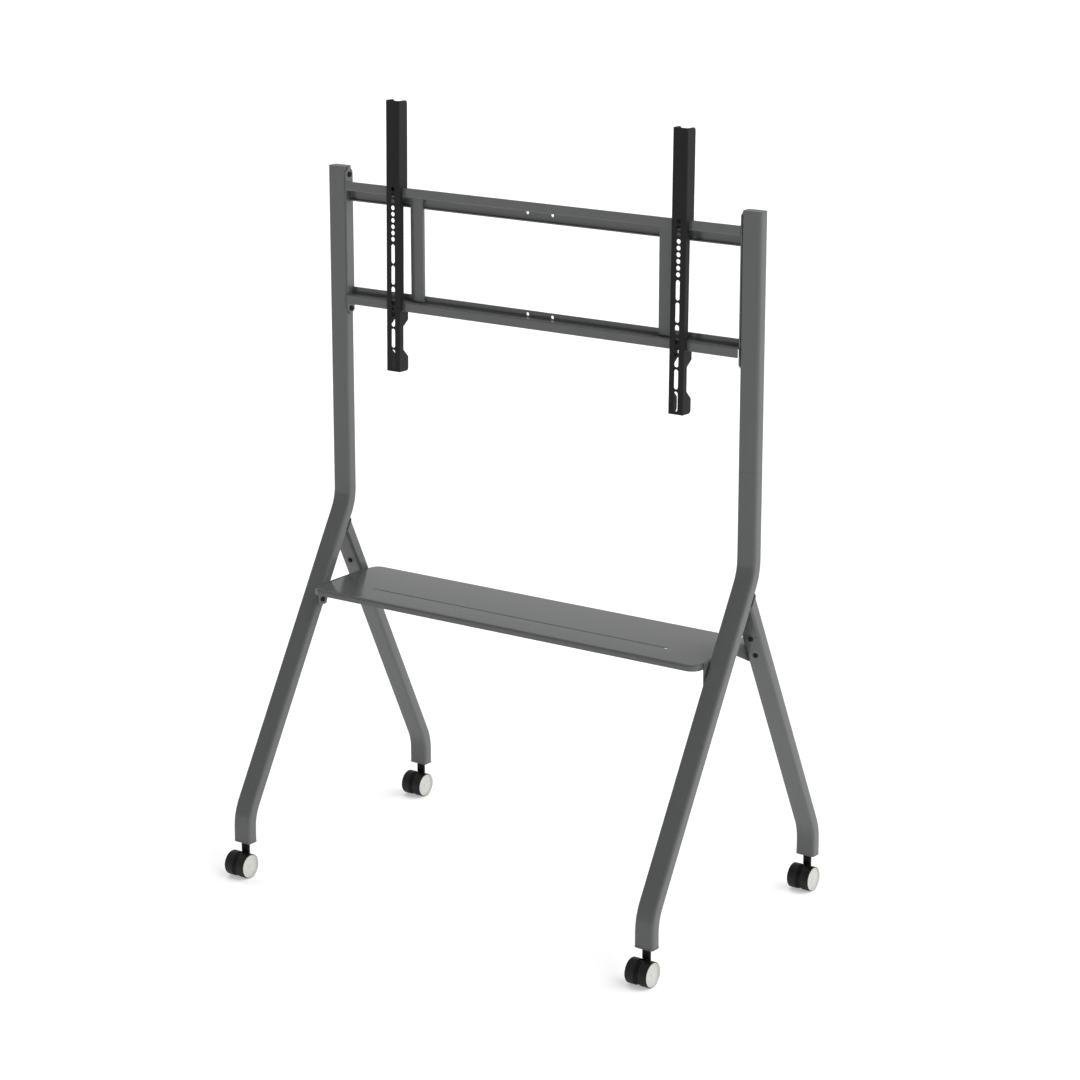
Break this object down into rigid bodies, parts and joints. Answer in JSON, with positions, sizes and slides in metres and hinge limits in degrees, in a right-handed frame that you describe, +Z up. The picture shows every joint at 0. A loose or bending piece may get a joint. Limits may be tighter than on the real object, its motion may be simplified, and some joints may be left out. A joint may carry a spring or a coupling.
{
  "type": "mobile tv stand",
  "caption": "Mobile screen stand: bent tube side frames, two rails with sliding mounting arms, a folded shelf and swivelling twin-wheel casters.",
  "frame": {"origin": "on the floor, at the middle of the footprint", "axes": "+X to the right of someone who looks at the screen, -Y the way the screen faces, +Z up"},
  "size_m": [1.218, 0.7701, 1.8502],
  "materials": {
    "frame_paint": "smooth semi-gloss dark grey powder coat",
    "arm_paint": "satin black powder coat",
    "sleeve_steel": "bare drawn steel",
    "zinc_steel": "bright zinc plate",
    "black_screws": "black oxide",
    "end_plastic": "moulded dark grey plastic",
    "caster_plastic": "moulded black nylon",
    "wheel_tread": "black moulded tread",
    "hub_cover_plastic": "pale grey moulded cover"
  },
  "bodies": {
    "frame": {"caster_stems": "zinc_steel", "foot_plugs": "end_plastic", "frame_bolts": "black_screws", "left_end_plate": "frame_paint", "left_front_leg": "frame_paint", "left_leg_stub": "frame_paint", "left_rear_leg": "frame_paint", "left_shelf_bracket": "frame_paint", "left_upper_post": "frame_paint", "left_upright": "frame_paint", "leg_bolts": "black_screws", "leg_sleeves": "sleeve_steel", "lower_rail": "frame_paint", "post_caps": "end_plastic", "post_sleeves": "sleeve_steel", "right_end_plate": "frame_paint", "right_front_leg": "frame_paint", "right_leg_stub": "frame_paint", "right_rear_leg": "frame_paint", "right_shelf_bracket": "frame_paint", "right_upper_post": "frame_paint", "right_upright": "frame_paint", "shelf": "frame_paint", "shelf_bolts": "black_screws", "thread_inserts": "zinc_steel", "upper_rail": "frame_paint"},
    "left_arm_carriage": {"left_arm": "arm_paint", "left_lock_bar": "arm_paint", "left_lock_screw": "black_screws"},
    "right_arm_carriage": {"right_arm": "arm_paint", "right_lock_bar": "arm_paint", "right_lock_screw": "black_screws"},
    "front_left_caster": {"front_left_hood": "caster_plastic", "front_left_axle": "zinc_steel"},
    "front_left_roller_left": {"front_left_wheel_left": "wheel_tread", "front_left_hub_cover_left": "hub_cover_plastic"},
    "front_left_roller_right": {"front_left_wheel_right": "wheel_tread", "front_left_hub_cover_right": "hub_cover_plastic"},
    "front_right_caster": {"front_right_hood": "caster_plastic", "front_right_axle": "zinc_steel"},
    "front_right_roller_left": {"front_right_wheel_left": "wheel_tread", "front_right_hub_cover_left": "hub_cover_plastic"},
    "front_right_roller_right": {"front_right_wheel_right": "wheel_tread", "front_right_hub_cover_right": "hub_cover_plastic"},
    "rear_left_caster": {"rear_left_hood": "caster_plastic", "rear_left_axle": "zinc_steel"},
    "rear_left_roller_left": {"rear_left_wheel_left": "wheel_tread", "rear_left_hub_cover_left": "hub_cover_plastic"},
    "rear_left_roller_right": {"rear_left_wheel_right": "wheel_tread", "rear_left_hub_cover_right": "hub_cover_plastic"},
    "rear_right_caster": {"rear_right_hood": "caster_plastic", "rear_right_axle": "zinc_steel"},
    "rear_right_roller_left": {"rear_right_wheel_left": "wheel_tread", "rear_right_hub_cover_left": "hub_cover_plastic"},
    "rear_right_roller_right": {"rear_right_wheel_right": "wheel_tread", "rear_right_hub_cover_right": "hub_cover_plastic"}
  },
  "joints": [
    {"name": "left_arm_slide", "type": "slide", "parent": "frame", "child": "left_arm_carriage", "axis": [1, 0, 0], "range_m": [-0.12, 0.3]},
    {"name": "right_arm_slide", "type": "slide", "parent": "frame", "child": "right_arm_carriage", "axis": [1, 0, 0], "range_m": [-0.3, 0.12]},
    {"name": "front_left_swivel", "type": "hinge", "parent": "frame", "child": "front_left_caster", "pos_m": [-0.58, -0.336, 0.07], "axis": [0, 0, 1], "continuous": true},
    {"name": "front_left_roll_left", "type": "hinge", "parent": "front_left_caster", "child": "front_left_roller_left", "pos_m": [-0.58, -0.3535, 0.03], "axis": [1, 0, 0], "continuous": true},
    {"name": "front_left_roll_right", "type": "hinge", "parent": "front_left_caster", "child": "front_left_roller_right", "pos_m": [-0.58, -0.3535, 0.03], "axis": [1, 0, 0], "continuous": true},
    {"name": "front_right_swivel", "type": "hinge", "parent": "frame", "child": "front_right_caster", "pos_m": [0.58, -0.336, 0.07], "axis": [0, 0, 1], "continuous": true},
    {"name": "front_right_roll_left", "type": "hinge", "parent": "front_right_caster", "child": "front_right_roller_left", "pos_m": [0.58, -0.3535, 0.03], "axis": [1, 0, 0], "continuous": true},
    {"name": "front_right_roll_right", "type": "hinge", "parent": "front_right_caster", "child": "front_right_roller_right", "pos_m": [0.58, -0.3535, 0.03], "axis": [1, 0, 0], "continuous": true},
    {"name": "rear_left_swivel", "type": "hinge", "parent": "frame", "child": "rear_left_caster", "pos_m": [-0.58, 0.371, 0.07], "axis": [0, 0, 1], "continuous": true},
    {"name": "rear_left_roll_left", "type": "hinge", "parent": "rear_left_caster", "child": "rear_left_roller_left", "pos_m": [-0.58, 0.3535, 0.03], "axis": [1, 0, 0], "continuous": true},
    {"name": "rear_left_roll_right", "type": "hinge", "parent": "rear_left_caster", "child": "rear_left_roller_right", "pos_m": [-0.58, 0.3535, 0.03], "axis": [1, 0, 0], "continuous": true},
    {"name": "rear_right_swivel", "type": "hinge", "parent": "frame", "child": "rear_right_caster", "pos_m": [0.58, 0.371, 0.07], "axis": [0, 0, 1], "continuous": true},
    {"name": "rear_right_roll_left", "type": "hinge", "parent": "rear_right_caster", "child": "rear_right_roller_left", "pos_m": [0.58, 0.3535, 0.03], "axis": [1, 0, 0], "continuous": true},
    {"name": "rear_right_roll_right", "type": "hinge", "parent": "rear_right_caster", "child": "rear_right_roller_right", "pos_m": [0.58, 0.3535, 0.03], "axis": [1, 0, 0], "continuous": true}
  ]
}
